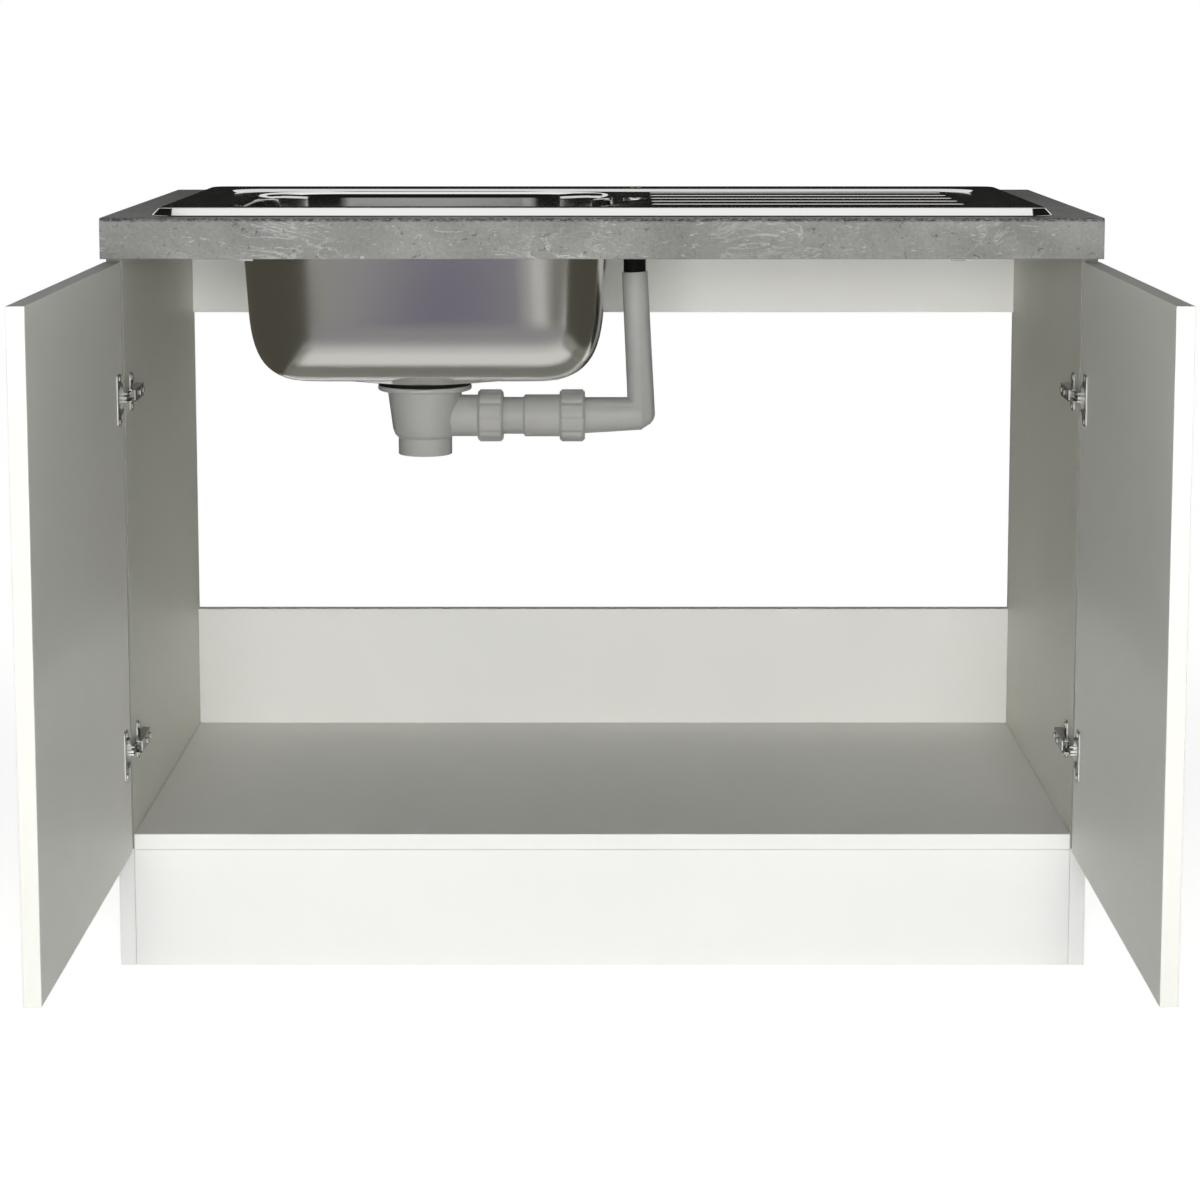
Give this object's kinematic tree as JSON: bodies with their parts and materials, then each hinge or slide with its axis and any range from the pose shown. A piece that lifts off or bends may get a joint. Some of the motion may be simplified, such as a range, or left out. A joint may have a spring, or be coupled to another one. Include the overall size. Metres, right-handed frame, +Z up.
{
  "type": "kitchen sink unit",
  "caption": "Base cabinet for a kitchen sink with hinged doors, open back, stone-decor worktop, inset steel sink with drainer, and a plastic waste and overflow set.",
  "frame": {"origin": "on the floor, at the middle of the footprint that the unit has with both doors open", "axes": "+Z up; the doors and the front face -Y; +X to the right as seen from the front"},
  "size_m": [1.1, 1.1286, 0.865],
  "materials": {
    "white_board": "white melamine-faced board, satin",
    "door_board": "white melamine-faced board with edging, satin",
    "stone_decor": "laminate with a grey slate decor, matte",
    "stainless": "satin stainless",
    "nickel": "nickel plated",
    "grey_plastic": "moulded grey plastic",
    "black_rubber": "matte black"
  },
  "bodies": {
    "cabinet": {"side_panel_left": "white_board", "side_panel_right": "white_board", "plinth_board": "white_board", "base_panel": "white_board", "back_rail_bottom": "white_board", "back_rail_top": "white_board", "worktop": "stone_decor", "sink": "stainless", "strainer_flange": "stainless", "centre_screw": "stainless", "overflow_rosette": "stainless", "hinge_arm_left_lower": "nickel", "hinge_arm_left_upper": "nickel", "hinge_arm_right_lower": "nickel", "hinge_arm_right_upper": "nickel", "hinge_plate_left_lower": "nickel", "hinge_plate_left_upper": "nickel", "hinge_plate_right_lower": "nickel", "hinge_plate_right_upper": "nickel", "worktop_bracket_left": "nickel", "worktop_bracket_right": "nickel", "worktop_bracket_rail_left": "nickel", "worktop_bracket_rail_right": "nickel", "sink_clip_front_left": "nickel", "sink_clip_front_right": "nickel", "sink_clip_back_left": "nickel", "sink_clip_back_right": "nickel", "sink_clip_left": "nickel", "sink_clip_right": "nickel", "waste_body": "grey_plastic", "union_nut_inlet": "grey_plastic", "union_nut_overflow": "grey_plastic", "adapter_tube": "grey_plastic", "overflow_pipe": "grey_plastic", "sink_seal": "black_rubber", "waste_gasket": "black_rubber", "seal_ring_inlet": "black_rubber", "seal_ring_overflow": "black_rubber", "overflow_sleeve": "black_rubber"},
    "left_door": {"door_left": "door_board", "hinge_cup_left_lower": "nickel", "hinge_cup_left_upper": "nickel"},
    "left_outer_links": {"hinge_outer_link_left_lower": "nickel", "hinge_outer_link_left_upper": "nickel"},
    "left_inner_links": {"hinge_inner_link_left_lower": "nickel", "hinge_inner_link_left_upper": "nickel"},
    "right_door": {"door_right": "door_board", "hinge_cup_right_lower": "nickel", "hinge_cup_right_upper": "nickel"},
    "right_outer_links": {"hinge_outer_link_right_lower": "nickel", "hinge_outer_link_right_upper": "nickel"},
    "right_inner_links": {"hinge_inner_link_right_lower": "nickel", "hinge_inner_link_right_upper": "nickel"},
    "strainer_basket": {"basket_strainer": "stainless"}
  },
  "joints": [
    {"name": "left_door_swing", "type": "hinge", "parent": "cabinet", "child": "left_door", "pos_m": [-0.54505, -0.02075, 0.456], "axis": [0, 0, 1], "range_deg": [-15, 90]},
    {"name": "left_outer_link_swing", "type": "hinge", "parent": "left_door", "child": "left_outer_links", "pos_m": [-0.538, -0.0273, 0.456], "axis": [0, 0, 1], "range_deg": [-91, 16]},
    {"name": "left_inner_link_swing", "type": "hinge", "parent": "left_door", "child": "left_inner_links", "pos_m": [-0.54, -0.0313, 0.456], "axis": [0, 0, 1], "range_deg": [-75, 13.33]},
    {"name": "right_door_swing", "type": "hinge", "parent": "cabinet", "child": "right_door", "pos_m": [0.54505, -0.02075, 0.456], "axis": [0, 0, -1], "range_deg": [-15, 90]},
    {"name": "right_outer_link_swing", "type": "hinge", "parent": "right_door", "child": "right_outer_links", "pos_m": [0.538, -0.0273, 0.456], "axis": [0, 0, -1], "range_deg": [-91, 16]},
    {"name": "right_inner_link_swing", "type": "hinge", "parent": "right_door", "child": "right_inner_links", "pos_m": [0.54, -0.0313, 0.456], "axis": [0, 0, -1], "range_deg": [-75, 13.33]},
    {"name": "basket_lift", "type": "slide", "parent": "cabinet", "child": "strainer_basket", "axis": [0, 0, 1], "range_m": [0, 0.05]}
  ],
  "couplings": [
    {"joint": "left_outer_link_swing", "follows": "left_door_swing", "ratio": -1},
    {"joint": "left_inner_link_swing", "follows": "left_door_swing", "ratio": -0.82222},
    {"joint": "right_outer_link_swing", "follows": "right_door_swing", "ratio": -1},
    {"joint": "right_inner_link_swing", "follows": "right_door_swing", "ratio": -0.82222}
  ]
}
